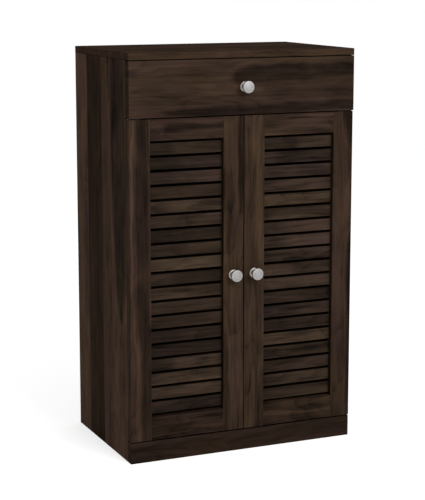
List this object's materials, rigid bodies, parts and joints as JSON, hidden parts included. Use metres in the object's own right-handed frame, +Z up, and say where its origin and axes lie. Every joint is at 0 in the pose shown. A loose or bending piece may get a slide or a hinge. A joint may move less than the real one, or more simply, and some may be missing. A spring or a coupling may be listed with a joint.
{
  "type": "shoe cabinet",
  "caption": "Tall free-standing shoe cabinet of dark stained wood, with a drawer above hinged slatted doors, round metal knobs, shelves inside and a plinth.",
  "frame": {"origin": "on the floor under the middle of the cabinet's bounding box", "axes": "+Z up, +X to the right seen from the front, +Y to the back; the doors and the drawer face -Y"},
  "size_m": [0.6, 0.413, 1],
  "materials": {
    "top_walnut": "dark walnut stain under satin lacquer, grain along X",
    "side_walnut": "dark walnut stain under satin lacquer, boards glued edge to edge, grain along Z",
    "plinth_walnut": "dark walnut stain under satin lacquer, grain along X",
    "drawer_front_walnut": "dark walnut stain under satin lacquer, figured grain along X",
    "stile_walnut": "dark walnut stain under satin lacquer, grain along Z",
    "rail_walnut": "dark walnut stain under satin lacquer, grain along X",
    "slat_walnut": "dark walnut stain under satin lacquer, grain along X, each slat its own tone",
    "inner_walnut": "dark walnut stain under matt lacquer, grain along X",
    "pale_wood": "bare planed hardwood",
    "plywood": "bare plywood",
    "zinc_steel": "zinc plated steel",
    "dark_steel": "dark bronzed steel",
    "satin_metal": "satin turned metal",
    "catch_plastic": "dark brown moulded plastic",
    "magnet_metal": "dull nickel plated magnet",
    "clear_rubber": "translucent silicone"
  },
  "bodies": {
    "carcass": {"top_board": "top_walnut", "left_side_panel": "side_walnut", "right_side_panel": "side_walnut", "bottom_panel": "inner_walnut", "drawer_divider": "inner_walnut", "plinth_board": "plinth_walnut", "plinth_blocks": "pale_wood", "back_panel": "plywood", "front_stretcher": "inner_walnut", "back_rail": "inner_walnut", "lower_shelf": "inner_walnut", "middle_shelf": "inner_walnut", "upper_shelf": "inner_walnut", "shelf_pins": "zinc_steel", "carcass_dowels": "pale_wood", "top_screws": "zinc_steel", "back_panel_screws": "zinc_steel", "fitting_screws": "zinc_steel", "left_drawer_runner": "pale_wood", "right_drawer_runner": "pale_wood", "upper_catch": "catch_plastic", "lower_catch": "catch_plastic", "catch_magnets": "magnet_metal", "left_lower_pivot": "dark_steel", "left_upper_pivot": "dark_steel", "right_lower_pivot": "dark_steel", "right_upper_pivot": "dark_steel"},
    "drawer": {"drawer_front": "drawer_front_walnut", "drawer_inner_front": "pale_wood", "drawer_left_side": "pale_wood", "drawer_right_side": "pale_wood", "drawer_back": "pale_wood", "drawer_bottom": "plywood", "drawer_stop_block": "pale_wood", "drawer_screws": "zinc_steel", "drawer_bumpers": "clear_rubber", "drawer_knob": "satin_metal", "drawer_knob_screw": "zinc_steel"},
    "left_door": {"left_hinge_stile": "stile_walnut", "left_meeting_stile": "stile_walnut", "left_top_rail": "rail_walnut", "left_bottom_rail": "rail_walnut", "left_slats": "slat_walnut", "left_pivot_sockets": "dark_steel", "left_strike_plates": "zinc_steel", "left_door_screws": "zinc_steel", "left_door_knob": "satin_metal", "left_knob_screw": "zinc_steel"},
    "right_door": {"right_hinge_stile": "stile_walnut", "right_meeting_stile": "stile_walnut", "right_top_rail": "rail_walnut", "right_bottom_rail": "rail_walnut", "right_slats": "slat_walnut", "right_pivot_sockets": "dark_steel", "right_strike_plates": "zinc_steel", "right_door_screws": "zinc_steel", "right_door_knob": "satin_metal", "right_knob_screw": "zinc_steel"}
  },
  "joints": [
    {"name": "drawer_slide", "type": "slide", "parent": "carcass", "child": "drawer", "axis": [0, -1, 0], "range_m": [0, 0.24]},
    {"name": "left_door_hinge", "type": "hinge", "parent": "carcass", "child": "left_door", "pos_m": [-0.295, -0.1685, 0.0555], "axis": [0, 0, -1], "range_deg": [0, 180]},
    {"name": "right_door_hinge", "type": "hinge", "parent": "carcass", "child": "right_door", "pos_m": [0.295, -0.1685, 0.0555], "axis": [0, 0, 1], "range_deg": [0, 180]}
  ]
}
